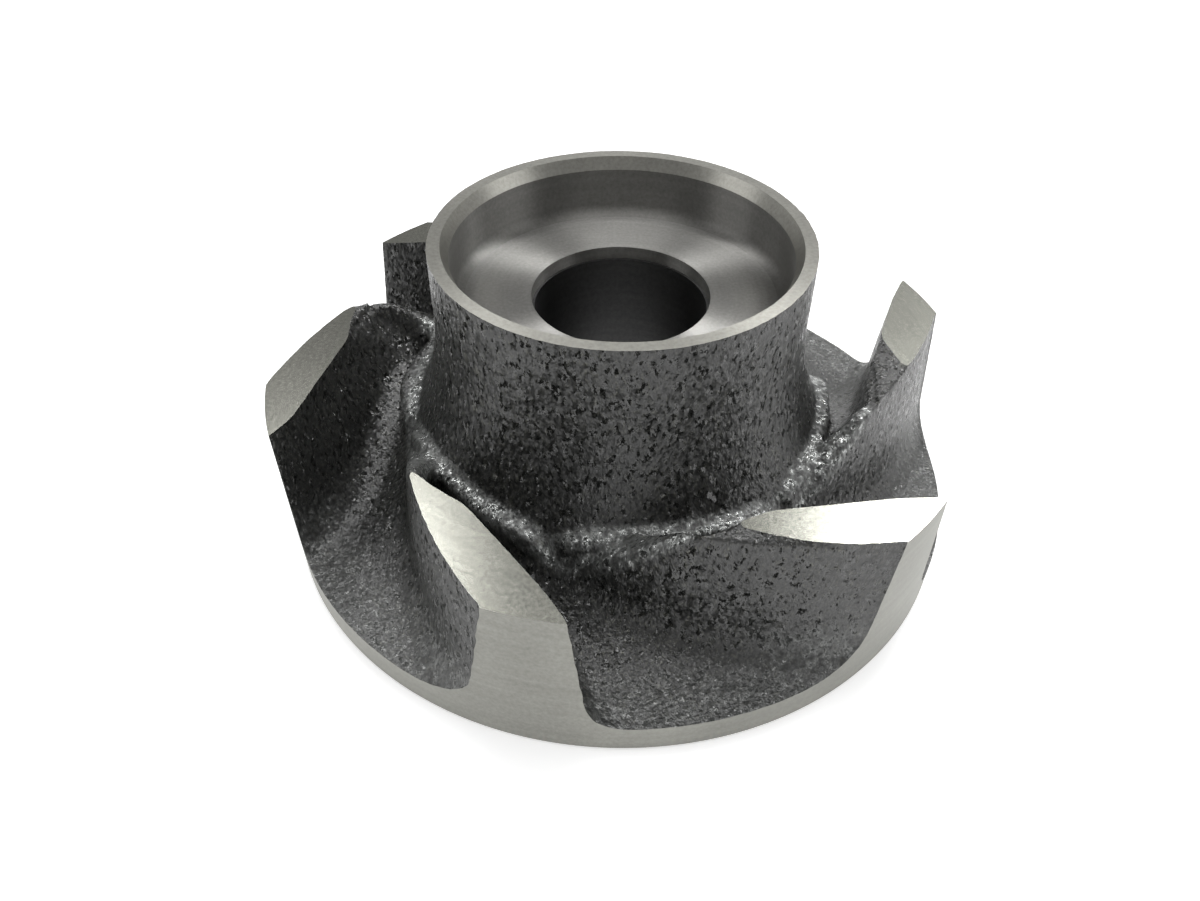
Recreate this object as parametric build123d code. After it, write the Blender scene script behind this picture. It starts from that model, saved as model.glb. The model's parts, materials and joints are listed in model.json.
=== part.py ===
from build123d import *
import math
import os

# A small centrifugal pump impeller: one grey-iron casting, then turned.
# +Z points from the back face to the seal end of the hub, which is up.
# The origin is the centre of the flat back face, on the shaft axis.
# All sizes are in millimetres and all angles in degrees.

# Turned sizes
impeller_diameter = 79.0
overall_height = 34.3
vane_top_height = 19.6
shaft_bore_diameter = 19.05
bore_lead_in_width = 0.3
bore_lead_in_depth = 1.5
seal_seat_diameter = 36.5
seal_seat_depth = 7.0
seal_seat_corner_radius = 0.5
lip_lead_in_width = 0.75
lip_lead_in_depth = 1.4
edge_break = 0.4

# Cast hub and back plate: the hub wall flares into the plate in two tangent arcs
hub_wall_thickness = 2.15
back_plate_thickness = 3.7
flare_drop = 7.1
flare_upper_radius = 31.6
flare_lower_radius = 12.4

# Cast vanes: the leading flank of each is an arc about its own upright line
vane_count = 6
vane_arc_radius = 51.3
vane_arc_hub_gap = 2.4
vane_arc_centre_angle = -11.2
vane_draft = 5.3
leading_root_radius = 4.8
trailing_root_radius = 4.0
root_overlap = 0.15
widest_root_angle = 100
root_seating_steps = 20

# Thickness of a vane at its top, from the inlet to beyond the rim: angle about the line of its
# arc, and share of the thickest place
vane_thickness = 5.3
vane_thickness_profile = [
    (176, 0.25),
    (186, 0.26),
    (192, 0.32),
    (198, 0.47),
    (204, 0.74),
    (210, 0.92),
    (216, 1.00),
    (221, 0.98),
    (226, 0.83),
    (232, 0.75),
    (240, 0.75),
    (250, 0.75),
]

# The inlet edges of the vanes lie on one cone that rises outward from the flare
inlet_foot_gap = 4.8
inlet_spread = 4.1

# Metal that the casting carries for the turned faces
machining_allowance = 1.5

hub_radius = seal_seat_diameter / 2 + hub_wall_thickness
cast_radius = impeller_diameter / 2 + machining_allowance
cast_vane_height = vane_top_height + machining_allowance
vane_base_height = back_plate_thickness / 3
vane_arc_centre_distance = vane_arc_radius - hub_radius - vane_arc_hub_gap
inlet_foot_radius = hub_radius + inlet_foot_gap

# Centres of the two arcs of the flare, and the point where the arcs meet
upper_centre = (hub_radius + flare_upper_radius, overall_height - flare_drop)
lower_height = back_plate_thickness + flare_lower_radius
centre_gap = flare_upper_radius - flare_lower_radius
flare_turn = math.asin((upper_centre[1] - lower_height) / centre_gap)
lower_centre = (upper_centre[0] - centre_gap * math.cos(flare_turn), lower_height)
flare_join = (
    upper_centre[0] - flare_upper_radius * math.cos(flare_turn),
    upper_centre[1] - flare_upper_radius * math.sin(flare_turn),
)


def on_arc(centre, radius, angle):
    """Point of an arc, its angle in radians below the direction to the axis."""
    return (centre[0] - radius * math.cos(angle), centre[1] - radius * math.sin(angle))


def floor_height(radius):
    """Height of the cast surface between the vanes at a distance from the axis."""
    if radius >= lower_centre[0]:
        return back_plate_thickness
    if radius >= flare_join[0]:
        return lower_centre[1] - math.sqrt(flare_lower_radius**2 - (lower_centre[0] - radius) ** 2)
    if radius <= hub_radius:
        return upper_centre[1]
    return upper_centre[1] - math.sqrt(flare_upper_radius**2 - (upper_centre[0] - radius) ** 2)


def hub_and_plate():
    """Back plate and hub as one revolved profile."""
    with BuildPart() as body:
        with BuildSketch(Plane.XZ):
            with BuildLine():
                Polyline(
                    (hub_radius, upper_centre[1]),
                    (hub_radius, overall_height + machining_allowance),
                    (0, overall_height + machining_allowance),
                    (0, -machining_allowance),
                    (cast_radius, -machining_allowance),
                    (cast_radius, back_plate_thickness),
                    (lower_centre[0], back_plate_thickness),
                )
                ThreePointArc(
                    (lower_centre[0], back_plate_thickness),
                    on_arc(lower_centre, flare_lower_radius, (flare_turn + math.pi / 2) / 2),
                    flare_join,
                )
                ThreePointArc(
                    flare_join,
                    on_arc(upper_centre, flare_upper_radius, flare_turn / 2),
                    (hub_radius, upper_centre[1]),
                )
            make_face()
        revolve(axis=Axis.Z)
    return body.part


def root_curve(plane, top, side, root_radius):
    """Root of one flank in a section plane: flank point, foot on the floor, and both tangents."""

    def floor_at(across):
        point = plane.from_local_coords((across, 0, 0))
        return floor_height(math.hypot(point.X, point.Y))

    lean = math.tan(math.radians(vane_draft))
    base = back_plate_thickness
    for _ in range(root_seating_steps):
        across = top + side * (vane_top_height - base) * lean
        base = (base + floor_at(across)) / 2
    fall = base - floor_at(across + side * root_radius / 2)
    slope = math.degrees(math.atan2(fall, root_radius / 2))
    turn = min(90 - vane_draft - slope, widest_root_angle)
    reach = root_radius * math.tan(math.radians(turn / 2))
    flank = (across - side * reach * lean, base + reach)
    out = across + side * reach * math.cos(math.radians(slope))
    foot = (out, floor_at(out) - root_overlap)
    ahead = side * root_radius / 4
    return flank, foot, (side * lean, -1), (ahead, floor_at(out + ahead) - floor_at(out))


def vane_section(turn, share):
    """Closed upright section of a vane, in the plane through the line of its arc."""
    centre = Vector(vane_arc_centre_distance, 0, 0).rotate(Axis.Z, vane_arc_centre_angle)
    along = Vector(1, 0, 0).rotate(Axis.Z, turn)
    plane = Plane(origin=centre, x_dir=along, z_dir=along.cross(Vector(0, 0, 1)))
    lean = math.tan(math.radians(vane_draft)) * machining_allowance
    leading_top = vane_arc_radius
    trailing_top = vane_arc_radius - share * vane_thickness
    lead, lead_foot, lead_down, lead_out = root_curve(plane, leading_top, 1, leading_root_radius)
    trail, trail_foot, trail_down, trail_out = root_curve(plane, trailing_top, -1, trailing_root_radius)
    with BuildSketch(plane) as section:
        with BuildLine():
            Spline(lead, lead_foot, tangents=(lead_down, lead_out))
            Polyline(
                lead_foot,
                (lead_foot[0], vane_base_height),
                (trail_foot[0], vane_base_height),
                trail_foot,
            )
            Spline(trail, trail_foot, tangents=(trail_down, trail_out))
            Polyline(
                trail,
                (trailing_top + lean, cast_vane_height),
                (leading_top - lean, cast_vane_height),
                lead,
            )
        make_face()
    return section.sketch


def vane_envelope():
    """Everything under the cone of the inlet edges and inside the cast outline."""
    foot_height = floor_height(inlet_foot_radius)
    slope = inlet_spread / (vane_top_height - foot_height)
    buried = foot_height / 3
    with BuildPart() as envelope:
        with BuildSketch(Plane.XZ):
            with BuildLine():
                Polyline(
                    (0, 0),
                    (cast_radius, 0),
                    (cast_radius, cast_vane_height),
                    (inlet_foot_radius + slope * (cast_vane_height - foot_height), cast_vane_height),
                    (inlet_foot_radius - slope * buried, foot_height - buried),
                    (0, foot_height - buried),
                    close=True,
                )
            make_face()
        revolve(axis=Axis.Z)
    return envelope.part


def vane():
    """One vane with its roots, cut back at the inlet."""
    sections = [vane_section(turn, share) for turn, share in vane_thickness_profile]
    return loft(sections) & vane_envelope()


def casting():
    """Hub, plate and vanes as they leave the mould."""
    one = vane()
    vanes = [Rot(0, 0, 360 / vane_count * place) * one for place in range(vane_count)]
    return hub_and_plate().fuse(*vanes)


def turned_outline():
    """What the lathe leaves room for: rim, vane tops, hub end, seal seat and bore."""
    rim = impeller_diameter / 2
    seat = seal_seat_diameter / 2
    bore = shaft_bore_diameter / 2
    seat_floor = overall_height - seal_seat_depth
    hub_relief = hub_radius + 2 * machining_allowance
    with BuildPart() as outline:
        with BuildSketch(Plane.XZ) as profile:
            with BuildLine():
                Polyline(
                    (bore + edge_break, 0),
                    (rim - edge_break, 0),
                    (rim, edge_break),
                    (rim, vane_top_height),
                    (hub_relief, vane_top_height),
                    (hub_relief, overall_height),
                    (seat + lip_lead_in_width, overall_height),
                    (seat, overall_height - lip_lead_in_depth),
                    (seat, seat_floor),
                    (bore + bore_lead_in_width, seat_floor),
                    (bore + bore_lead_in_width, seat_floor - bore_lead_in_depth),
                    (bore, seat_floor - bore_lead_in_depth),
                    (bore, edge_break),
                    close=True,
                )
            make_face()
            corner = profile.vertices().sort_by_distance((seat, seat_floor))[0]
            fillet(corner, seal_seat_corner_radius)
        revolve(axis=Axis.Z)
    return outline.part


impeller = casting() & turned_outline()
os.makedirs("parts", exist_ok=True)
export_step(impeller, "parts/impeller.step")
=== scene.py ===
"""Dresses a cast-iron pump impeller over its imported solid.

The casting gets a rough skin and turned faces, and it stands in a plain studio.
"""

import json
import logging
import math
from dataclasses import asdict, dataclass, field
from enum import Enum
from typing import Callable

import bmesh
import bpy
import numpy as np
from mathutils import Matrix, Vector

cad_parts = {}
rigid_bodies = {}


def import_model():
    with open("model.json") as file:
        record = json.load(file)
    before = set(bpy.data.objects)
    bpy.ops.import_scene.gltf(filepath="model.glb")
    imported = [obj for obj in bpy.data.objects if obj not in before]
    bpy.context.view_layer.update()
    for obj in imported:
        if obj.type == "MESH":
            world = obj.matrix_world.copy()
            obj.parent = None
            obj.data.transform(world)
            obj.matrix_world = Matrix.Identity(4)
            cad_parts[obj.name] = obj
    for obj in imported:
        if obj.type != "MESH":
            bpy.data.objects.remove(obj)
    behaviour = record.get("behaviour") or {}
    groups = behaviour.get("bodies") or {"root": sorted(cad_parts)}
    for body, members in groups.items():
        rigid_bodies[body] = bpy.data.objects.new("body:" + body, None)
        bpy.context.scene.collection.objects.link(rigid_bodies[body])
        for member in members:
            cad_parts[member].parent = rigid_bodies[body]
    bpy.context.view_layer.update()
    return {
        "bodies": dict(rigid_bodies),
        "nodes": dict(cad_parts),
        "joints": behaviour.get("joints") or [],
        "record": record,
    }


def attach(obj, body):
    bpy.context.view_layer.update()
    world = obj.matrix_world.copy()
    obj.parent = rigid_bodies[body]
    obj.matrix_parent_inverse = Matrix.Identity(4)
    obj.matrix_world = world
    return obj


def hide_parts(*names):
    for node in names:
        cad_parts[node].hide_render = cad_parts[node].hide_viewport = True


LOG = logging.getLogger("impeller")
MM = 0.001
NEAR = 0.03 * MM
PAINTED_HIGHLIGHT = "painted_highlight"
# Name of the point attribute that says how strongly a highlight is painted on the casting.
NOSE_RADIUS = "nose_radius"
WHITE = (1.0, 1.0, 1.0, 1.0)

Rgb = tuple[float, float, float]
Span = tuple[float, float]
Station = tuple[float, float, float, float]


class Face(Enum):
    """The surfaces of the finished impeller, each with its own finish and material slot."""

    CAST = 0
    RIM = 1
    VANE_TOP = 2
    HUB_END = 3
    SEAT_WALL = 4
    SEAT_FLOOR = 5
    BORE = 6
    BACK = 7


class Lay(Enum):
    """How the marks of the cutting tool run on a turned face."""

    RINGS_ON_A_FLAT = "rings on a flat"
    RINGS_ON_A_WALL = "rings on a wall"


class Octaves(Enum):
    """Detail and roughness of a noise."""

    SOFT = (1.0, 0.5)
    EVEN = (2.0, 0.5)
    GRAINY = (2.0, 0.55)
    CLOUDY = (3.0, 0.6)
    LINED = (3.0, 0.7)


# --- Small helpers for objects and node trees ---


def linked(name: str, data: bpy.types.ID) -> bpy.types.Object:
    """Makes an object and puts it in the scene.

    Args:
        name: Name of the object.
        data: Its mesh, light or camera.

    Returns:
        The new object.
    """
    made = bpy.data.objects.new(name, data)
    bpy.context.scene.collection.objects.link(made)
    return made


def applied(piece: bpy.types.Object) -> bpy.types.Mesh:
    """Applies a piece's modifiers and removes them.

    Args:
        piece: Object with live modifiers.

    Returns:
        The mesh that they give.
    """
    graph = bpy.context.evaluated_depsgraph_get()
    graph.update()
    mesh = bpy.data.meshes.new_from_object(piece.evaluated_get(graph))
    piece.modifiers.clear()
    return mesh


def mesh_points(mesh: bpy.types.Mesh) -> np.ndarray:
    """Reads the corners of a mesh.

    Args:
        mesh: Mesh to read.

    Returns:
        One row of three coordinates for each corner, in metres.
    """
    points = np.empty(len(mesh.vertices) * 3)
    mesh.vertices.foreach_get("co", points)
    return points.reshape(-1, 3)


class Nodes:
    """A node tree that is written in short calls."""

    def __init__(self, tree: bpy.types.NodeTree) -> None:
        """Takes the tree that the nodes are added to.

        Args:
            tree: Tree of a material, a world or Geometry Nodes.
        """
        self.tree = tree

    def node(
        self, kind: str, links: dict[str, object] | None = None, **settings: object
    ) -> bpy.types.Node:
        """Adds a node.

        Args:
            kind: Type name of the node.
            links: Input name or number to a socket that feeds it or to a plain value.
            settings: Properties of the node.

        Returns:
            The new node.
        """
        made = self.tree.nodes.new(kind)
        for key, value in settings.items():
            setattr(made, key, value)
        for key, value in (links or {}).items():
            socket = made.inputs[int(key)] if key.isdigit() else made.inputs[key]
            if isinstance(value, bpy.types.NodeSocket):
                self.tree.links.new(value, socket)
            else:
                socket.default_value = value
        return made

    def math(self, operation: str, first: object, second: object) -> bpy.types.NodeSocket:
        """Adds a Math node and returns its result."""
        links = {"0": first, "1": second}
        return self.node("ShaderNodeMath", links, operation=operation).outputs[0]

    def vector(self, operation: str, links: dict[str, object]) -> bpy.types.NodeSocket:
        """Adds a Vector Math node and returns its vector."""
        return self.node("ShaderNodeVectorMath", links, operation=operation).outputs[0]

    def remap(
        self, value: object, given: Span, wanted: tuple[object, object] = (0.0, 1.0)
    ) -> bpy.types.NodeSocket:
        """Adds a clamped Map Range.

        Args:
            value: Value to map.
            given: Span that it is mapped from.
            wanted: Both ends of the span that it is mapped to, as numbers or sockets.

        Returns:
            The mapped value.
        """
        ends = dict(zip(("From Min", "From Max", "To Min", "To Max"), (*given, *wanted)))
        return self.node("ShaderNodeMapRange", {"Value": value, **ends}).outputs["Result"]


class Shader(Nodes):
    """A material in the making."""

    def __init__(self, name: str) -> None:
        """Starts an empty material.

        Args:
            name: Name of the material.
        """
        self.material = bpy.data.materials.new(name)
        self.material.use_nodes = True
        super().__init__(self.material.node_tree)
        self.tree.nodes.clear()

    def texture(self, coords: object, scale: float, octaves: Octaves) -> bpy.types.Node:
        """Adds a Noise Texture.

        Args:
            coords: Coordinates that it is read at.
            scale: Features per metre.
            octaves: Its detail and roughness.

        Returns:
            The new node.
        """
        detail, rough = octaves.value
        links = {"Vector": coords, "Scale": scale, "Detail": detail, "Roughness": rough}
        return self.node("ShaderNodeTexNoise", links)

    def noise(self, coords: object, scale: float, octaves: Octaves) -> bpy.types.NodeSocket:
        """Adds a Noise Texture and returns its grey value."""
        return self.texture(coords, scale, octaves).outputs["Fac"]

    def blend(self, share: object, first: object, second: object) -> bpy.types.NodeSocket:
        """Mixes two colours and returns the result."""
        links = {"0": share, "6": first, "7": second}
        return self.node("ShaderNodeMix", links, data_type="RGBA").outputs[2]

    def close(self, shader: bpy.types.Node) -> bpy.types.Material:
        """Joins the last shader to the output and returns the material."""
        self.node("ShaderNodeOutputMaterial", {"Surface": shader.outputs[0]})
        return self.material


class Tree(Nodes):
    """Geometry Nodes with named inputs, which end in Realize Instances and Set Material."""

    def __init__(self, name: str, sizes: dict[str, float]) -> None:
        """Starts a tree that only takes geometry and its sizes.

        Args:
            name: Name of the tree.
            sizes: Value of each named input.
        """
        super().__init__(bpy.data.node_groups.new(name, "GeometryNodeTree"))
        self.sizes = sizes
        sockets = self.tree.interface
        sockets.new_socket("Geometry", in_out="INPUT", socket_type="NodeSocketGeometry")
        for size, value in sizes.items():
            kind = "NodeSocketInt" if isinstance(value, int) else "NodeSocketFloat"
            sockets.new_socket(size, in_out="INPUT", socket_type=kind).default_value = value
        sockets.new_socket("Geometry", in_out="OUTPUT", socket_type="NodeSocketGeometry")
        self.given = self.node("NodeGroupInput").outputs

    def close(self, geometry: bpy.types.NodeSocket, material: bpy.types.Material) -> None:
        """Ends the tree.

        Args:
            geometry: Geometry that the tree gives.
            material: Material that it gets.
        """
        real = self.node("GeometryNodeRealizeInstances", {"0": geometry}).outputs[0]
        paint = self.node("GeometryNodeSetMaterial", {"Geometry": real, "Material": material})
        self.node("NodeGroupOutput", {"0": paint.outputs[0]})

    def run(self, piece: bpy.types.Object) -> bpy.types.Mesh:
        """Runs the tree on a piece with the sizes that it was given.

        Args:
            piece: Object whose mesh goes in.

        Returns:
            The mesh that comes out.
        """
        made = piece.modifiers.new(self.tree.name, "NODES")
        made.node_group = self.tree
        for item in self.tree.interface.items_tree:
            if item.in_out == "INPUT" and item.name in self.sizes:
                made[item.identifier] = self.sizes[item.name]
        return applied(piece)


# --- Finishes ---


@dataclass(frozen=True)
class CastSkin:
    """Dark sand-cast iron, whose small grains each catch the light on their own.

    Scales are features per metre. A span is where a noise or an edge starts and stops to show.
    """

    dark: Rgb = (0.011, 0.0115, 0.0105)
    pale: Rgb = (0.16, 0.16, 0.14)
    # Colour of the highlight painted along the inlet edges and on the floor near the rim.
    rubbed: Rgb = (0.38, 0.39, 0.38)
    grain_scale: float = 3300.0
    fine_scale: float = 6200.0
    fine_share: float = 0.35
    fine_span: Span = (0.3, 0.7)
    patch_scale: float = 110.0
    patch_span: Span = (0.35, 0.68)
    patch_shade: Span = (0.35, 1.0)
    upright_stretch: float = 0.6
    worn_span: Span = (0.66, 0.92)
    worn_power: float = 1.5
    worn_metal: float = 0.8
    # Sharp ridges are painted paler: a painted highlight on the crests.
    ridge_span: Span = (0.53, 0.62)
    ridge_most: float = 0.8
    ridge_grain_span: Span = (0.35, 0.6)
    ridge_grain_shade: Span = (0.3, 1.0)
    # Speckle of that painted highlight.
    highlight_speckle_span: Span = (0.38, 0.6)
    highlight_speckle_shade: Span = (0.1, 1.0)
    roughness: Span = (0.5, 0.28)
    facet_scale: float = 2300.0
    facet_tilt: float = 1.1
    glint_scale: float = 1380.0
    glint_span: Span = (0.52, 0.58)
    glint_tilt: float = 3.0
    glint_roughness: float = 0.2
    bump_height: float = 0.13 * MM
    reflectance: float = 1.0

    def build(self, name: str) -> bpy.types.Material:
        """Builds the material.

        Args:
            name: Name of the material.

        Returns:
            The finished material.
        """
        make = Shader(name)
        place = make.node("ShaderNodeTexCoord").outputs["Object"]
        stretch = (1.0, 1.0, self.upright_stretch)
        coords = make.node("ShaderNodeMapping", {"Vector": place, "Scale": stretch}).outputs[0]
        grain = make.noise(coords, self.grain_scale, Octaves.GRAINY)
        fine = make.noise(coords, self.fine_scale, Octaves.GRAINY)
        patch = make.noise(place, self.patch_scale, Octaves.CLOUDY)
        height = make.math("ADD", grain, make.math("MULTIPLY", fine, self.fine_share))
        worn = make.math("POWER", make.remap(height, self.worn_span), self.worn_power)
        tone = make.math("MULTIPLY", worn, make.remap(patch, self.patch_span, self.patch_shade))
        # Where the surface is sharply convex, the tone is raised: a highlight painted on the ridges
        # and crests.
        crest = make.node("ShaderNodeNewGeometry").outputs["Pointiness"]
        ridge_highlight = make.remap(crest, self.ridge_span, (0.0, self.ridge_most))
        speckle = make.remap(grain, self.ridge_grain_span, self.ridge_grain_shade)
        tone = make.math("MAXIMUM", tone, make.math("MULTIPLY", ridge_highlight, speckle))
        grains = make.texture(coords, self.facet_scale, Octaves.EVEN)
        chance = make.noise(coords, self.glint_scale, Octaves.SOFT)
        bright = make.remap(chance, self.glint_span)
        colour = make.blend(tone, (*self.dark, 1.0), (*self.pale, 1.0))
        # Along the inlet edges and on the floor near the rim, the skin is painted pale and
        # metallic: a painted highlight, speckled by the glint noise.
        painted_highlight = make.node("ShaderNodeAttribute", attribute_name=PAINTED_HIGHLIGHT, attribute_type="GEOMETRY")
        highlight_speckle = make.remap(chance, self.highlight_speckle_span, self.highlight_speckle_shade)
        rubbed = make.math("MULTIPLY", painted_highlight.outputs["Fac"], highlight_speckle)
        colour = make.blend(rubbed, colour, (*self.rubbed, 1.0))
        metal = make.math("MAXIMUM", make.math("MULTIPLY", tone, self.worn_metal), rubbed)
        plain = make.remap(fine, self.fine_span, self.roughness)
        rough = make.remap(bright, (0.0, 1.0), (plain, self.glint_roughness))
        sizes = {"Strength": 1.0, "Distance": self.bump_height, "Height": height}
        bump = make.node("ShaderNodeBump", sizes)
        skin = make.node(
            "ShaderNodeBsdfPrincipled",
            {
                "Base Color": colour,
                "Metallic": metal,
                "Roughness": rough,
                "Normal": self.facets(make, grains, bright, bump.outputs["Normal"]),
                "Specular IOR Level": self.reflectance,
            },
        )
        return make.close(skin)

    def facets(
        self, make: Shader, grains: bpy.types.Node, bright: object, normal: object
    ) -> bpy.types.NodeSocket:
        """Tilts the normal by a different amount on each grain, and further on the bright ones.

        Args:
            make: Material that the nodes are added to.
            grains: Texture whose colour differs from grain to grain.
            bright: One on the bright grains and zero on the others.
            normal: Normal of the surface.

        Returns:
            The tilted normal.
        """
        middle = (0.5, 0.5, 0.5)
        lean = make.vector("SUBTRACT", {"0": grains.outputs["Color"], "1": middle})
        tilt = make.remap(bright, (0.0, 1.0), (self.facet_tilt, self.glint_tilt))
        lean = make.vector("SCALE", {"0": lean, "3": tilt})
        tilted = make.vector("ADD", {"0": normal, "1": lean})
        return make.vector("NORMALIZE", {"0": tilted})


@dataclass(frozen=True)
class TurnedIron:
    """Bright turned iron with the fine rings that a lathe tool leaves.

    Scales are features per metre. A shade is the span that a tone or roughness is multiplied by.
    """

    colour: Rgb
    roughness: float
    anisotropy: float
    lay: Lay
    ring_pitch: float = 0.11 * MM
    ring_height: float = 0.0012 * MM
    band_share: float = 0.12
    band_shade: Span = (0.93, 1.07)
    grit_scale: float = 2600.0
    grit: float = 0.16
    grit_span: Span = (0.25, 0.75)
    grit_height: float = 0.8
    smear_scale: float = 90.0
    smear_shade: Span = (0.92, 1.08)
    roughness_shade: Span = (0.94, 1.08)
    middle_span: Span = (0.3, 0.7)
    streak_turn: float = 0.25

    def build(self, name: str) -> bpy.types.Material:
        """Builds the material.

        Args:
            name: Name of the material.

        Returns:
            The finished material.
        """
        make = Shader(name)
        coords = make.node("ShaderNodeTexCoord").outputs["Object"]
        parts = make.node("ShaderNodeSeparateXYZ", {"Vector": coords}).outputs
        if self.lay is Lay.RINGS_ON_A_FLAT:
            links = {"X": parts["X"], "Y": parts["Y"], "Z": 0.0}
            flat = make.node("ShaderNodeCombineXYZ", links).outputs[0]
            length = make.node("ShaderNodeVectorMath", {"0": flat}, operation="LENGTH")
            across = length.outputs["Value"]
        else:
            across = parts["Z"]
        line = make.node("ShaderNodeCombineXYZ", {"X": across, "Y": 0.0, "Z": 0.0}).outputs[0]
        rings = make.noise(line, 1.0 / self.ring_pitch, Octaves.LINED)
        bands = make.noise(line, self.band_share / self.ring_pitch, Octaves.EVEN)
        grit = make.noise(coords, self.grit_scale, Octaves.CLOUDY)
        smear = make.noise(coords, self.smear_scale, Octaves.CLOUDY)
        tone = make.remap(grit, self.grit_span, (1.0 - self.grit, 1.0 + self.grit))
        for mark, shade in ((bands, self.band_shade), (smear, self.smear_shade)):
            tone = make.math("MULTIPLY", tone, make.remap(mark, self.middle_span, shade))
        colour = make.vector("SCALE", {"0": self.colour, "3": tone})
        low, high = (self.roughness * share for share in self.roughness_shade)
        rough = make.remap(grit, self.middle_span, (low, high))
        height = make.math("ADD", rings, make.math("MULTIPLY", grit, self.grit_height))
        sizes = {"Strength": 1.0, "Distance": self.ring_height, "Height": height}
        bump = make.node("ShaderNodeBump", sizes)
        tangent = make.node("ShaderNodeTangent", direction_type="RADIAL", axis="Z")
        face = make.node(
            "ShaderNodeBsdfPrincipled",
            {
                "Base Color": colour,
                "Metallic": 1.0,
                "Roughness": rough,
                "Anisotropic": self.anisotropy,
                "Anisotropic Rotation": self.streak_turn,
                "Normal": bump.outputs["Normal"],
                "Tangent": tangent.outputs[0],
            },
        )
        return make.close(face)


@dataclass(frozen=True)
class Finishes:
    """One finish for each face of the impeller."""

    cast: CastSkin = CastSkin()
    rim: TurnedIron = TurnedIron((0.28, 0.279, 0.254), 0.42, 0.6, Lay.RINGS_ON_A_WALL)
    vane_top: TurnedIron = TurnedIron(
        (0.31, 0.31, 0.275), 0.24, 0.3, Lay.RINGS_ON_A_FLAT, ring_height=0.0004 * MM
    )
    hub_end: TurnedIron = TurnedIron((0.34, 0.335, 0.305), 0.36, 0.6, Lay.RINGS_ON_A_FLAT)
    seat_wall: TurnedIron = TurnedIron((0.26, 0.256, 0.243), 0.47, 1.0, Lay.RINGS_ON_A_WALL)
    seat_floor: TurnedIron = TurnedIron((0.28, 0.276, 0.263), 0.4, 0.94, Lay.RINGS_ON_A_FLAT)
    # The bore is much darker than the other turned faces: painted shade inside the deep hole.
    bore: TurnedIron = TurnedIron((0.12, 0.12, 0.12), 0.4, 0.5, Lay.RINGS_ON_A_WALL)
    back: TurnedIron = TurnedIron((0.34, 0.335, 0.31), 0.4, 0.6, Lay.RINGS_ON_A_FLAT)

    def build(self) -> dict[Face, bpy.types.Material]:
        """Builds every material.

        Returns:
            The material of each face.
        """
        return {
            Face.CAST: self.cast.build("cast_skin"),
            Face.RIM: self.rim.build("turned_rim"),
            Face.VANE_TOP: self.vane_top.build("turned_vane_tops"),
            Face.HUB_END: self.hub_end.build("turned_hub_end"),
            Face.SEAT_WALL: self.seat_wall.build("turned_seat_wall"),
            Face.SEAT_FLOOR: self.seat_floor.build("turned_seat_floor"),
            Face.BORE: self.bore.build("reamed_bore"),
            Face.BACK: self.back.build("turned_back"),
        }


# --- The lathe's outline ---


@dataclass
class TurnedOutline:
    """The body of revolution that turning leaves room for. Sizes are in metres."""

    rim_radius: float = 39.499 * MM
    vane_top: float = 19.6 * MM
    hub_top: float = 34.3 * MM
    hub_clearance_radius: float = 23.4 * MM
    edge_break: float = 0.4 * MM
    bore_radius: float = 9.525 * MM
    bore_mouth_radius: float = 9.825 * MM
    bore_mouth_depth: float = 1.5 * MM
    seat_radius: float = 18.25 * MM
    seat_floor: float = 27.3 * MM
    seat_corner: float = 1.1 * MM
    corner_steps: int = 5
    lip_radius: float = 19.0 * MM
    lip_depth: float = 1.4 * MM
    sides: int = 288

    def profile(self) -> list[tuple[float, float, Face]]:
        """Corners of the half section, counter-clockwise.

        Returns:
            Radius, height and the face that starts at each corner.
        """
        corners = [
            (self.bore_radius + self.edge_break, 0.0, Face.BACK),
            (self.rim_radius - self.edge_break, 0.0, Face.RIM),
            (self.rim_radius, self.edge_break, Face.RIM),
            (self.rim_radius, self.vane_top, Face.VANE_TOP),
            (self.hub_clearance_radius, self.vane_top, Face.VANE_TOP),
            (self.hub_clearance_radius, self.hub_top, Face.HUB_END),
            (self.lip_radius, self.hub_top, Face.HUB_END),
            (self.seat_radius, self.hub_top - self.lip_depth, Face.SEAT_WALL),
        ]
        for step in range(self.corner_steps + 1):
            turn = math.radians(90 * step / self.corner_steps)
            corners.append(
                (
                    self.seat_radius - self.seat_corner * (1 - math.cos(turn)),
                    self.seat_floor + self.seat_corner * (1 - math.sin(turn)),
                    Face.SEAT_WALL if step < self.corner_steps else Face.SEAT_FLOOR,
                )
            )
        mouth = self.seat_floor - self.bore_mouth_depth
        corners += [
            (self.bore_mouth_radius, self.seat_floor, Face.SEAT_WALL),
            (self.bore_mouth_radius, mouth, Face.BORE),
            (self.bore_radius, mouth, Face.BORE),
            (self.bore_radius, self.edge_break, Face.BORE),
        ]
        return corners

    def build(self, slots: list[bpy.types.Material]) -> bpy.types.Object:
        """Builds the outline as a closed mesh with a material on each face.

        Args:
            slots: Materials in the order of the Face values.

        Returns:
            The outline as a loose object.
        """
        corners = self.profile()
        shape = bmesh.new()
        rings = []
        for side in range(self.sides):
            turn = 2 * math.pi * side / self.sides
            across, along = math.cos(turn), math.sin(turn)
            rings.append([shape.verts.new((r * across, r * along, z)) for r, z, _ in corners])
        for side, here in enumerate(rings):
            there = rings[(side + 1) % self.sides]
            for index, (_, _, finish) in enumerate(corners):
                after = (index + 1) % len(corners)
                made = shape.faces.new((here[index], there[index], there[after], here[after]))
                made.material_index = finish.value
        bmesh.ops.recalc_face_normals(shape, faces=shape.faces)
        mesh = bpy.data.meshes.new("turned_outline")
        shape.to_mesh(mesh)
        shape.free()
        for slot in slots:
            mesh.materials.append(slot)
        return linked("turned_outline", mesh)


# --- The cast skin, as a node tree ---


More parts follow.
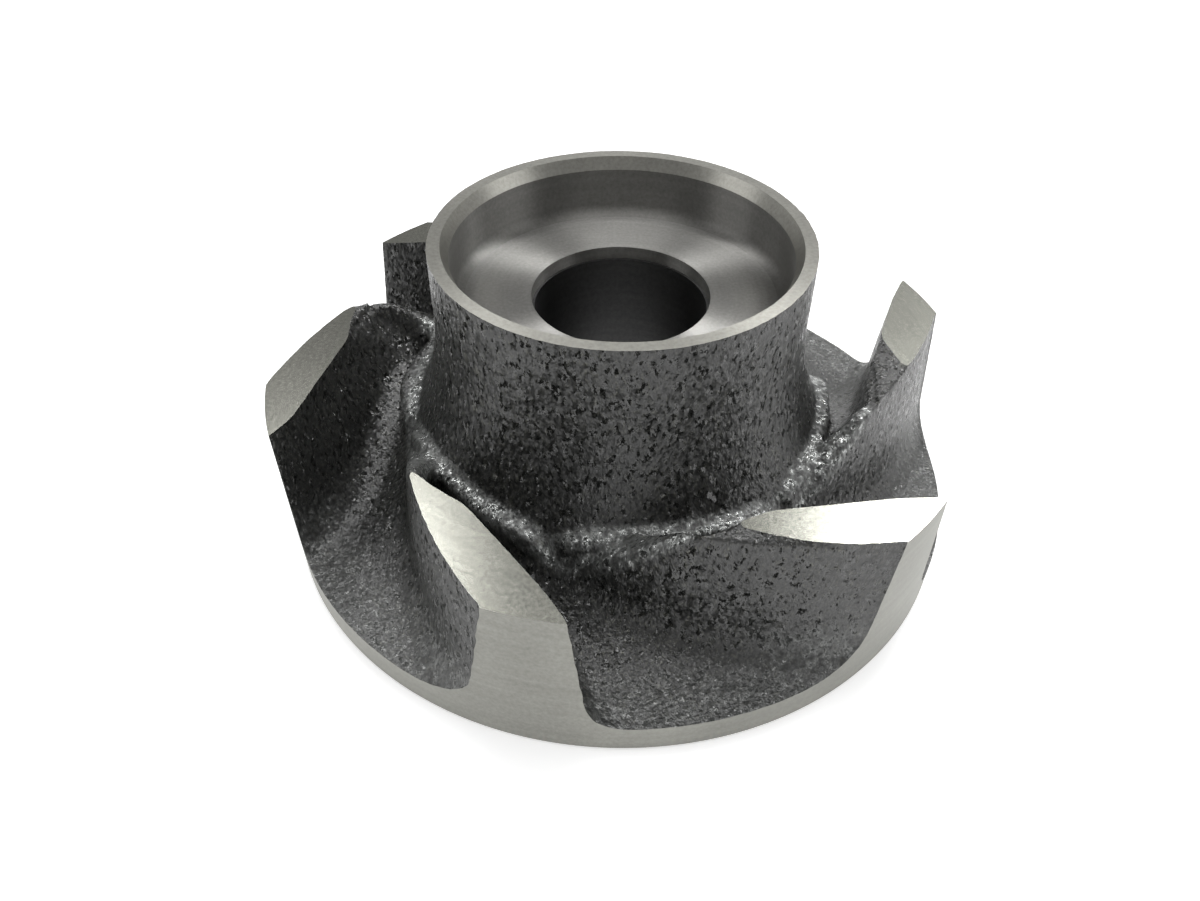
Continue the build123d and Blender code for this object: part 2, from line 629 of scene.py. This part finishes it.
@dataclass(frozen=True)
class SkinTree:
    """Geometry Nodes that soften a casting and give it the relief of sand.

    Scales are features per metre.
    """

    softening: int = 5
    swell_height: float = 0.16 * MM
    swell_scale: float = 130.0
    swell_shift: float = 0.0
    grain_height: float = 0.22 * MM
    grain_scale: float = 1150.0
    grain_shift: float = 3.0
    pit_depth: float = 0.22 * MM
    pit_scale: float = 260.0
    pit_shift: float = 9.0
    pit_from: float = 0.19
    pit_slope: float = -12.0
    seed: int = 7

    @staticmethod
    def noise(make: Tree, kind: str, octaves: Octaves) -> bpy.types.NodeSocket:
        """Adds a noise that changes with the seed.

        Args:
            make: Tree that it is added to.
            kind: First word of the inputs that give its scale and its shift from the others.
            octaves: Its detail and roughness.

        Returns:
            The noise, centred on zero.
        """
        detail, rough = octaves.value
        links = {
            "W": make.math("ADD", make.given["Seed"], make.given[f"{kind} Shift"]),
            "Scale": make.given[f"{kind} Scale"],
            "Detail": detail,
            "Roughness": rough,
        }
        made = make.node("ShaderNodeTexNoise", links, noise_dimensions="4D")
        return make.math("SUBTRACT", made.outputs["Fac"], 0.5)

    def build(self, material: bpy.types.Material) -> Tree:
        """Builds the tree, with an input named after every size.

        Args:
            material: Material of the cast skin.

        Returns:
            The tree, ready to run.
        """
        sizes = {name.replace("_", " ").title(): value for name, value in asdict(self).items()}
        make = Tree("cast_skin_relief", sizes)
        given = make.given
        place = make.node("GeometryNodeInputPosition").outputs[0]
        links = {"Value": place, "Iterations": given["Softening"]}
        soften = make.node("GeometryNodeBlurAttribute", links, data_type="FLOAT_VECTOR")
        links = {"Geometry": given["Geometry"], "Position": soften.outputs["Value"]}
        smooth = make.node("GeometryNodeSetPosition", links).outputs[0]

        swell = self.noise(make, "Swell", Octaves.SOFT)
        swell = make.math("MULTIPLY", swell, given["Swell Height"])
        grain = self.noise(make, "Grain", Octaves.EVEN)
        grain = make.math("MULTIPLY", grain, given["Grain Height"])
        pit = make.math("SUBTRACT", self.noise(make, "Pit", Octaves.EVEN), given["Pit From"])
        pit = make.math("MULTIPLY", make.math("MAXIMUM", pit, 0.0), given["Pit Slope"])
        pit = make.math("MULTIPLY", pit, given["Pit Depth"])
        relief = make.math("ADD", make.math("ADD", swell, grain), pit)
        outward = make.node("GeometryNodeInputNormal").outputs[0]
        push = make.vector("SCALE", {"0": outward, "Scale": relief})
        rough = make.node("GeometryNodeSetPosition", {"Geometry": smooth, "Offset": push})
        make.close(rough.outputs[0], material)
        return make


# --- Rounded inlet edges ---


@dataclass(frozen=True)
class InletNoses:
    """The rounded inlet edge of every vane, with the lip round the hub foot that it grows out of.

    Each station gives an angle about the shaft axis in degrees, then the distance from the axis,
    the height and half the width of the nose, all for the first vane and in millimetres. The
    nose is a square with rounded corners, whose radius is a share of that half width.
    """

    count: int = 6
    corner_radius: float = 0.3
    corner_points: int = 5
    lip: tuple[Station, ...] = (
        (136.0, 23.8, 11.7, 1.3),
        (144.0, 23.4, 12.6, 1.4),
        (154.0, 23.2, 12.8, 1.4),
        (165.0, 23.3, 12.7, 1.45),
        (176.0, 23.6, 12.2, 1.55),
        (186.0, 23.9, 11.7, 1.65),
    )
    edge: tuple[Station, ...] = (
        (195.8, 23.8, 8.7, 1.5),
        (205.9, 24.6, 10.5, 1.7),
        (212.2, 25.6, 12.7, 1.55),
        (217.7, 26.9, 15.2, 1.2),
        (221.0, 27.9, 17.1, 0.85),
        (223.6, 28.8, 18.7, 0.5),
    )

    def stations(self, steps: int = 1) -> list[tuple[float, ...]]:
        """Gives the stations of the lip and the edge in one line.

        Args:
            steps: How many steps lead from each station to the next.

        Returns:
            The stations, with those of the steps between them.
        """
        marks = self.lip + self.edge
        found = [marks[0]]
        for here, there in zip(marks, marks[1:]):
            for step in range(1, steps + 1):
                share = step / steps
                found.append(tuple(a + (b - a) * share for a, b in zip(here, there)))
        return found

    def path(self) -> bpy.types.Object:
        """Builds the line of the first vane's lip and edge.

        Returns:
            A loose object of one open line, with the half width of the nose at each point.
        """
        stations = self.stations()
        points = []
        for angle, out, height, _ in stations:
            turn = math.radians(angle)
            points.append((out * math.cos(turn) * MM, out * math.sin(turn) * MM, height * MM))
        mesh = bpy.data.meshes.new("inlet_noses")
        mesh.from_pydata(points, [(index, index + 1) for index in range(len(points) - 1)], [])
        radius = mesh.attributes.new(NOSE_RADIUS, "FLOAT", "POINT")
        radius.data.foreach_set("value", [station[3] * MM for station in stations])
        return linked("inlet_noses", mesh)

    def nose(self, make: Tree) -> bpy.types.NodeSocket:
        """Adds the nodes that give the line its rounded section.

        Args:
            make: Tree that they are added to.

        Returns:
            The closed shell of one vane's lip and edge.
        """
        line = make.node("GeometryNodeMeshToCurve", {"Mesh": make.given["Geometry"]}).outputs[0]
        kind = "CATMULL_ROM"
        smooth = make.node("GeometryNodeCurveSplineType", {"Curve": line}, spline_type=kind)
        links = {"Curve": smooth.outputs["Curve"]}
        upright = make.node("GeometryNodeSetCurveNormal", links, mode="Z_UP")
        square = make.node("GeometryNodeCurvePrimitiveQuadrilateral", {"Width": 2.0, "Height": 2.0})
        links = {
            "Curve": square.outputs["Curve"],
            "Radius": self.corner_radius,
            "Count": make.given["Corner Points"],
        }
        ring = make.node("GeometryNodeFilletCurve", links, mode="POLY")
        links = {"Name": NOSE_RADIUS}
        radius = make.node("GeometryNodeInputNamedAttribute", links, data_type="FLOAT")
        links = {
            "Curve": upright.outputs["Curve"],
            "Profile Curve": ring.outputs["Curve"],
            "Scale": radius.outputs["Attribute"],
            "Fill Caps": True,
        }
        return make.node("GeometryNodeCurveToMesh", links).outputs["Mesh"]

    def tree(self, material: bpy.types.Material) -> Tree:
        """Builds the tree that rounds the line and repeats it about the axis.

        Args:
            material: Material of the cast skin.

        Returns:
            The tree, ready to run.
        """
        make = Tree("inlet_noses", {"Vanes": self.count, "Corner Points": self.corner_points})
        vanes = make.given["Vanes"]
        nose = self.nose(make)
        index = make.node("GeometryNodeInputIndex").outputs[0]
        turn = make.math("MULTIPLY", make.math("DIVIDE", index, vanes), 2 * math.pi)
        about = make.node("ShaderNodeCombineXYZ", {"Z": turn}).outputs[0]
        angle = make.node("FunctionNodeEulerToRotation", {"0": about}).outputs[0]
        points = make.node("GeometryNodePoints", {"Count": vanes}).outputs[0]
        links = {"Points": points, "Instance": nose, "Rotation": angle}
        copies = make.node("GeometryNodeInstanceOnPoints", links)
        make.close(copies.outputs[0], material)
        return make

    def build(self, material: bpy.types.Material) -> bpy.types.Mesh:
        """Builds the noses of all the vanes.

        Args:
            material: Material of the cast skin.

        Returns:
            One closed shell for each vane.
        """
        line = self.path()
        mesh = self.tree(material).run(line)
        bpy.data.objects.remove(line)
        return mesh


# --- Where the casting strays from its pattern ---


def eased(value: np.ndarray, span: Span) -> np.ndarray:
    """Rises smoothly over a span.

    Args:
        value: Values to ease.
        span: Where the rise starts and ends.

    Returns:
        Zero below the span, one above it and a smooth rise in between.
    """
    low, high = span
    share = np.clip((value - low) / (high - low), 0.0, 1.0)
    return share * share * (3 - 2 * share)


@dataclass(frozen=True)
class VaneFrame:
    """Polar frame about the upright line that a vane's arc is struck from.

    Lengths are in millimetres and angles in degrees.
    """

    centre_distance: float = 28.5
    centre_angle: float = -11.2
    pitch: float = 60.0

    def polar(self, points: np.ndarray, vane: int) -> tuple[np.ndarray, np.ndarray, np.ndarray]:
        """Places points in a vane's frame.

        Args:
            points: Points in metres.
            vane: Number of the vane, counted from the first one.

        Returns:
            Distance from the line in millimetres, angle in the first vane's degrees, and the
            unit vectors away from the line.
        """
        turn = math.radians(self.centre_angle + self.pitch * vane)
        centre = np.array([math.cos(turn), math.sin(turn)]) * self.centre_distance
        away = points[:, :2] / MM - centre
        distance = np.hypot(away[:, 0], away[:, 1])
        angle = (np.degrees(np.arctan2(away[:, 1], away[:, 0])) - self.pitch * vane) % 360
        return distance, angle, away / distance[:, None]


@dataclass(frozen=True)
class ShiftedCore:
    """A vane whose inner half stands further from the hub because its core has shifted.

    Angles are in the vane's own frame, in degrees, and lengths in millimetres.
    """

    vane: int
    shift: float
    still_angle: float = 222.0
    full_angle: float = 201.0
    inner_flank: Span = (40.5, 45.0)
    outer_flank: Span = (54.0, 58.0)
    neighbour_angles: Span = (170.0, 182.0)
    heights: Span = (7.0, 18.0)
    hub_radii: Span = (22.0, 26.0)

    def apply(self, points: np.ndarray, frame: VaneFrame) -> None:
        """Moves the points of the vane.

        Args:
            points: Points of the casting in metres, changed in place.
            frame: Frame of the vanes' arcs.
        """
        distance, angle, away = frame.polar(points, self.vane)
        along = np.clip((self.still_angle - angle) / (self.still_angle - self.full_angle), 0.0, 1.0)
        near = eased(distance, self.inner_flank) * (1 - eased(distance, self.outer_flank))
        near *= eased(angle, self.neighbour_angles)
        height = eased(points[:, 2] / MM, self.heights)
        clear = eased(np.hypot(points[:, 0], points[:, 1]) / MM, self.hub_radii)
        amount = self.shift * along * near * height * clear * MM
        points[:, :2] += away * amount[:, None]


@dataclass(frozen=True)
class ShortTop:
    """A vane whose cast top falls away before its inlet end, so that turning leaves it rough there.

    The turned face ends on the line through two points of the vane's frame, each given as an angle
    in degrees and a distance from the arc's own line in millimetres. Beyond it the top falls by
    one share of the way, as far as its reach, and before it the top rises by another.
    """

    vane: int
    first: Span
    second: Span
    fall: float = 0.22
    rise: float = 3.0
    reach: float = 3.5
    press: float = 1.0
    turned_height: float = 19.6
    cast_height: float = 21.1
    arc_radius: float = 50.0
    inner_flank: Span = (40.0, 44.0)
    outer_flank: Span = (55.0, 58.0)
    neighbour_angles: Span = (180.0, 190.0)
    outlet_angles: Span = (216.0, 222.0)
    hub_radii: Span = (22.5, 24.5)

    def apply(self, points: np.ndarray, frame: VaneFrame) -> None:
        """Lowers the points of the vane's inlet end.

        Args:
            points: Points of the casting in metres, changed in place.
            frame: Frame of the vanes' arcs.
        """
        distance, angle, _ = frame.polar(points, self.vane)
        per_degree = math.radians(1.0) * self.arc_radius
        run = (self.second[0] - self.first[0]) * per_degree
        step = self.second[1] - self.first[1]
        beyond = (angle - self.first[0]) * per_degree * step - (distance - self.first[1]) * run
        beyond = np.minimum(beyond / math.hypot(run, step), self.reach)
        top = self.turned_height - np.where(beyond > 0, self.fall, self.rise) * beyond
        height = points[:, 2] / MM
        pressed = (height - top + self.press) / (self.cast_height - top + self.press)
        lower = np.maximum(self.cast_height - top, 0.0)
        lower *= np.clip(pressed, 0.0, 1.0)
        lower *= eased(distance, self.inner_flank) * (1 - eased(distance, self.outer_flank))
        lower *= eased(angle, self.neighbour_angles) * (1 - eased(angle, self.outlet_angles))
        lower *= eased(np.hypot(points[:, 0], points[:, 1]) / MM, self.hub_radii)
        points[:, 2] -= lower * MM


# --- The casting ---


@dataclass
class Casting:
    """The impeller as one casting that has been turned.

    Sizes are in metres, apart from those of the painted highlight, which are in millimetres or,
    along the inlet edges, shares of the nose's half width.
    """

    outline: TurnedOutline = field(default_factory=TurnedOutline)
    finishes: Finishes = field(default_factory=Finishes)
    skin: SkinTree = field(default_factory=SkinTree)
    noses: InletNoses = field(default_factory=InletNoses)
    vane_frame: VaneFrame = field(default_factory=VaneFrame)
    faults: tuple[ShiftedCore | ShortTop, ...] = (
        ShortTop(1, (212.4, 51.4), (200.7, 49.1)),
        ShortTop(2, (204.6, 51.4), (209.4, 47.0)),
        ShortTop(3, (203.0, 51.4), (207.6, 47.0)),
        ShortTop(4, (204.0, 51.4), (208.6, 47.0)),
        ShortTop(5, (199.4, 51.4), (204.4, 47.6)),
        ShiftedCore(5, 3.4),
    )
    merge_distance: float = 0.002 * MM
    allowance: float = 1.5 * MM
    plug_radius: float = 19.7 * MM
    plug_foot: float = 1.0 * MM
    plug_sides: int = 192
    grid: float = 0.40 * MM
    quick_grid: float = 0.7 * MM
    sharp_angle: float = 38.0
    # Where the highlight is painted: on the floor near the rim and along the inlet edges.
    rim_highlight: float = 0.3
    rim_highlight_radii: Span = (31.0, 38.0)
    rim_highlight_heights: Span = (6.5, 10.5)
    highlight_steps: int = 4
    highlight_rise: Span = (0.2, 0.7)
    highlight_reach: Span = (1.1, 1.6)

    def rough_casting(self, node: bpy.types.Object, noses: bpy.types.Mesh) -> bpy.types.Object:
        """Gives a copy of the solid the metal that turning takes, and its rounded inlet edges.

        Args:
            node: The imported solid.
            noses: Shells of the rounded inlet edges.

        Returns:
            A loose object of overlapping closed shells.
        """
        shape = bmesh.new()
        shape.from_mesh(node.data)
        bmesh.ops.remove_doubles(shape, verts=shape.verts, dist=self.merge_distance)
        rim, top, end = self.outline.rim_radius, self.outline.vane_top, self.outline.hub_top
        wider = (rim + self.allowance) / rim

        def raised(point: Vector) -> Vector:
            """The point lifted by the allowance."""
            return Vector((point.x, point.y, point.z + self.allowance))

        def widened(point: Vector) -> Vector:
            """The point moved out from the axis by the allowance."""
            return Vector((point.x * wider, point.y * wider, point.z))

        self._extrude(shape, lambda point: abs(point.z - top) < NEAR, raised)
        self._extrude(shape, lambda point: abs(point.z - end) < NEAR, raised)
        self._extrude(shape, lambda point: abs(math.hypot(point.x, point.y) - rim) < NEAR, widened)
        self._cylinder(shape, self.plug_radius, self.plug_foot, end + self.allowance)
        self._cylinder(shape, rim + self.allowance, -self.allowance, self.plug_foot)
        shape.from_mesh(noses)
        mesh = bpy.data.meshes.new("rough_casting")
        shape.to_mesh(mesh)
        shape.free()
        return linked("rough_casting", mesh)

    @staticmethod
    def _extrude(
        shape: bmesh.types.BMesh,
        chosen: Callable[[Vector], bool],
        move: Callable[[Vector], Vector],
    ) -> None:
        """Extrudes the faces whose corners are all chosen.

        Args:
            shape: Mesh to change.
            chosen: Says whether a corner lies on the turned face.
            move: Gives the new place of an extruded corner.
        """
        faces = [face for face in shape.faces if all(chosen(corner.co) for corner in face.verts)]
        made = bmesh.ops.extrude_face_region(shape, geom=faces)
        for item in made["geom"]:
            if isinstance(item, bmesh.types.BMVert):
                item.co = move(item.co)

    def _cylinder(self, shape: bmesh.types.BMesh, radius: float, low: float, high: float) -> None:
        """Adds a closed upright cylinder on the axis.

        Args:
            shape: Mesh to add it to.
            radius: Its radius.
            low: Height of its lower end.
            high: Height of its upper end.
        """
        bmesh.ops.create_cone(
            shape,
            cap_ends=True,
            segments=self.plug_sides,
            radius1=radius,
            radius2=radius,
            depth=high - low,
            matrix=Matrix.Translation((0.0, 0.0, (low + high) / 2)),
        )

    def build(self, node: bpy.types.Object) -> bpy.types.Object:
        """Builds the finished impeller.

        Args:
            node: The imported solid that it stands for.

        Returns:
            The finished piece.
        """
        materials = self.finishes.build()
        cast = materials[Face.CAST]
        rough = self.rough_casting(node, self.noses.build(cast))
        self._even_grid(rough)
        self._apply_faults(rough.data)
        rough.data = self.skin.build(cast).run(rough)
        mesh = self._turned(rough, [materials[face] for face in Face])
        self._keep_largest(mesh)
        mesh.shade_smooth()
        mesh.set_sharp_from_angle(angle=math.radians(self.sharp_angle))
        self._sharpen_borders(mesh)
        self._paint_highlight(mesh)
        piece = linked("impeller_casting", mesh)
        LOG.info("%s: %d faces", piece.name, len(mesh.polygons))
        return piece

    def _even_grid(self, rough: bpy.types.Object) -> None:
        """Fuses the shells into one mesh of even small faces.

        Args:
            rough: The rough casting, changed in place.
        """
        even = rough.modifiers.new("even_grid", "REMESH")
        even.mode = "VOXEL"
        even.voxel_size = self.grid
        rough.data = applied(rough)

    def _apply_faults(self, mesh: bpy.types.Mesh) -> None:
        """Moves the points of the casting where it strays from its pattern.

        Args:
            mesh: Mesh that is changed in place.
        """
        points = mesh_points(mesh)
        for fault in self.faults:
            fault.apply(points, self.vane_frame)
        mesh.vertices.foreach_set("co", points.ravel())
        mesh.update()

    def _turned(
        self, rough: bpy.types.Object, slots: list[bpy.types.Material]
    ) -> bpy.types.Mesh:
        """Cuts the rough casting down to the lathe's outline.

        Args:
            rough: The rough casting, which is used up.
            slots: Materials in the order of the Face values.

        Returns:
            The turned mesh, with the finish of each face.
        """
        rough.data.materials.clear()
        for slot in slots:
            rough.data.materials.append(slot)
        finish = [Face.CAST.value] * len(rough.data.polygons)
        rough.data.polygons.foreach_set("material_index", finish)
        outline = self.outline.build(slots)
        turning = rough.modifiers.new("turning", "BOOLEAN")
        turning.operation = "INTERSECT"
        turning.solver = "EXACT"
        turning.object = outline
        mesh = applied(rough)
        mesh.name = "impeller_casting"
        bpy.data.objects.remove(rough)
        bpy.data.objects.remove(outline)
        return mesh

    def _paint_highlight(self, mesh: bpy.types.Mesh) -> None:
        """Writes how strongly a highlight is painted on the casting, along the inlet edges and on
        the floor near the rim.

        Args:
            mesh: Finished mesh that the attribute is added to.
        """
        points = mesh_points(mesh) / MM
        radii = np.hypot(points[:, 0], points[:, 1])
        painted_highlight = self.rim_highlight * eased(radii, self.rim_highlight_radii)
        painted_highlight *= 1 - eased(points[:, 2], self.rim_highlight_heights)
        for angle, out, height, half in self.noses.stations(self.highlight_steps):
            reach = tuple(half * share for share in self.highlight_reach)
            above = eased(points[:, 2] - height, tuple(half * share for share in self.highlight_rise))
            for vane in range(self.noses.count):
                turn = math.radians(angle + self.vane_frame.pitch * vane)
                middle = (out * math.cos(turn), out * math.sin(turn), height)
                near = np.linalg.norm(points - middle, axis=1)
                painted_highlight = np.maximum(painted_highlight, above * (1 - eased(near, reach)))
        mesh.attributes.new(PAINTED_HIGHLIGHT, "FLOAT", "POINT").data.foreach_set("value", painted_highlight)

    @staticmethod
    def _sharpen_borders(mesh: bpy.types.Mesh) -> None:
        """Marks the edges between two finishes sharp, so that neither one shades into the other.

        Args:
            mesh: Mesh that is changed in place.
        """
        finish = np.empty(len(mesh.polygons), dtype=np.int32)
        mesh.polygons.foreach_get("material_index", finish)
        sides = np.empty(len(mesh.polygons), dtype=np.int32)
        mesh.polygons.foreach_get("loop_total", sides)
        edges = np.empty(len(mesh.loops), dtype=np.int32)
        mesh.loops.foreach_get("edge_index", edges)
        owner = np.repeat(finish, sides)
        lowest = np.full(len(mesh.edges), len(Face))
        highest = np.full(len(mesh.edges), -1)
        np.minimum.at(lowest, edges, owner)
        np.maximum.at(highest, edges, owner)
        sharp = np.empty(len(mesh.edges), dtype=bool)
        mesh.edges.foreach_get("use_edge_sharp", sharp)
        mesh.edges.foreach_set("use_edge_sharp", sharp | (lowest != highest))

    @staticmethod
    def _keep_largest(mesh: bpy.types.Mesh) -> None:
        """Removes loose crumbs that the cut has left beside the casting.

        Args:
            mesh: Mesh that is changed in place.
        """
        shape = bmesh.new()
        shape.from_mesh(mesh)
        seen: set[bmesh.types.BMVert] = set()
        groups = []
        for start in shape.verts:
            if start in seen:
                continue
            seen.add(start)
            group, waiting = [], [start]
            while waiting:
                here = waiting.pop()
                group.append(here)
                for edge in here.link_edges:
                    there = edge.other_vert(here)
                    if there not in seen:
                        seen.add(there)
                        waiting.append(there)
            groups.append(group)
        groups.sort(key=len)
        crumbs = [corner for group in groups[:-1] for corner in group]
        bmesh.ops.delete(shape, geom=crumbs, context="VERTS")
        shape.to_mesh(mesh)
        shape.free()


# --- The studio ---


@dataclass(frozen=True)
class Lamp:
    """A soft lamp that points at the impeller. Angles are in degrees, sizes in metres."""

    name: str
    azimuth: float
    elevation: float
    distance: float
    width: float
    height: float
    power: float

    def build(self, target: Vector) -> bpy.types.Object:
        """Builds the lamp.

        Args:
            target: Point that the lamp faces.

        Returns:
            The lamp object.
        """
        light = bpy.data.lights.new(self.name, "AREA")
        light.shape = "RECTANGLE"
        light.size = self.width
        light.size_y = self.height
        light.energy = self.power
        lamp = linked(self.name, light)
        turn, rise = math.radians(self.azimuth), math.radians(self.elevation)
        level = math.cos(rise)
        away = Vector((math.sin(turn) * level, math.cos(turn) * level, math.sin(rise)))
        lamp.location = target + away * self.distance
        lamp.rotation_euler = away.to_track_quat("Z", "Y").to_euler()
        return lamp


@dataclass
class Studio:
    """A white table and surround, soft lamps and the camera. Sizes are in metres."""

    floor_size: float = 3.0
    floor_albedo: float = 0.8
    floor_glow: float = 0.55
    surround: float = 0.22
    low_surround: float = 0.9
    skyline: float = 0.45
    lamps: tuple[Lamp, ...] = (
        Lamp("lamp_rear_left", -30.0, 51.0, 0.8, 0.16, 0.14, 1.4),
        Lamp("lamp_rear_right", 35.0, 47.0, 0.8, 0.16, 0.14, 1.9),
        Lamp("lamp_rear_wide", 14.0, 34.0, 0.9, 0.6, 0.28, 0.34),
        Lamp("lamp_overhead", 3.0, 83.0, 0.8, 0.5, 0.5, 3.3),
        Lamp("lamp_side_left", 262.0, 24.0, 0.9, 0.5, 0.4, 1.1),
        Lamp("lamp_side_right", 98.0, 24.0, 0.9, 0.5, 0.4, 1.1),
    )
    lamp_target: tuple[float, float, float] = (0.0, 0.0, 0.015)
    camera_place: tuple[float, float, float] = (-0.0021334, -0.087782, 0.0836405)
    camera_right: tuple[float, float, float] = (0.999963, 0.005754, 0.006331)
    camera_up: tuple[float, float, float] = (-0.008555, 0.672561, 0.739993)
    camera_lens: float = 28.0979
    camera_range: Span = (0.002, 10.0)
    film_width: float = 36.0

    def build(self) -> None:
        """Builds the floor, world, lamps and camera."""
        self.floor()
        self.world()
        for lamp in self.lamps:
            lamp.build(Vector(self.lamp_target))
        self.camera()

    @staticmethod
    def shown(make: Shader) -> bpy.types.NodeSocket:
        """Tells the rays that show the table's whiteness from those that light the impeller.

        Args:
            make: Material that the nodes are added to.

        Returns:
            One where a ray comes from the camera or through a mirror or glass, and zero elsewhere.
        """
        path = make.node("ShaderNodeLightPath").outputs
        seen = make.math("MAXIMUM", path["Is Camera Ray"], path["Is Glossy Ray"])
        return make.math("MAXIMUM", seen, path["Is Transmission Ray"])

    def floor(self) -> None:
        """Builds the white table, which keeps the impeller's shadow."""
        half = self.floor_size / 2
        mesh = bpy.data.meshes.new("table")
        corners = [(-half, -half, 0), (half, -half, 0), (half, half, 0), (-half, half, 0)]
        mesh.from_pydata(corners, [], [(0, 1, 2, 3)])
        table = linked("table", mesh)
        make = Shader("white_table")
        albedo = self.floor_albedo
        matt = make.node("ShaderNodeBsdfDiffuse", {"Color": (albedo, albedo, albedo, 1.0)})
        strength = make.math("MULTIPLY", self.shown(make), self.floor_glow)
        glow = make.node("ShaderNodeEmission", {"Color": WHITE, "Strength": strength})
        both = make.node("ShaderNodeAddShader", {"0": matt.outputs[0], "1": glow.outputs[0]})
        mesh.materials.append(make.close(both))

    def world(self) -> None:
        """Builds the plain surround, white low down like the table and grey above."""
        world = bpy.data.worlds.new("plain_surround")
        bpy.context.scene.world = world
        world.use_nodes = True
        world.node_tree.nodes.clear()
        make = Nodes(world.node_tree)
        place = make.node("ShaderNodeTexCoord").outputs["Generated"]
        rise = make.node("ShaderNodeSeparateXYZ", {"0": place}).outputs["Z"]
        strength = make.remap(rise, (0.0, self.skyline), (self.low_surround, self.surround))
        back = make.node("ShaderNodeBackground", {"Color": WHITE, "Strength": strength})
        make.node("ShaderNodeOutputWorld", {"Surface": back.outputs[0]})

    def camera(self) -> None:
        """Builds the camera, close above the front of the impeller."""
        data = bpy.data.cameras.new("camera")
        data.sensor_width = self.film_width
        data.lens = self.camera_lens
        data.clip_start, data.clip_end = self.camera_range
        camera = linked("camera", data)
        right, up = Vector(self.camera_right), Vector(self.camera_up)
        back = right.cross(up)
        turn = Matrix((right, up, back)).transposed().to_4x4()
        camera.matrix_world = Matrix.Translation(self.camera_place) @ turn
        bpy.context.scene.camera = camera


def corners(bounds: object) -> list[list[float]]:
    """Both corners of a box as plain lists."""
    return [[float(value) for value in corner] for corner in bounds]


def main() -> None:
    """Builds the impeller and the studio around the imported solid."""
    logging.basicConfig(level=logging.INFO, format="%(name)s: %(message)s")
    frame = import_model()
    bpy.context.scene.view_settings.view_transform = "Standard"

    casting = Casting().build(frame["nodes"]["impeller"])
    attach(casting, "root")
    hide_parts("impeller")
    LOG.info("casting done")

    Studio().build()
    LOG.info("studio done")


if __name__ == "__main__":
    main()
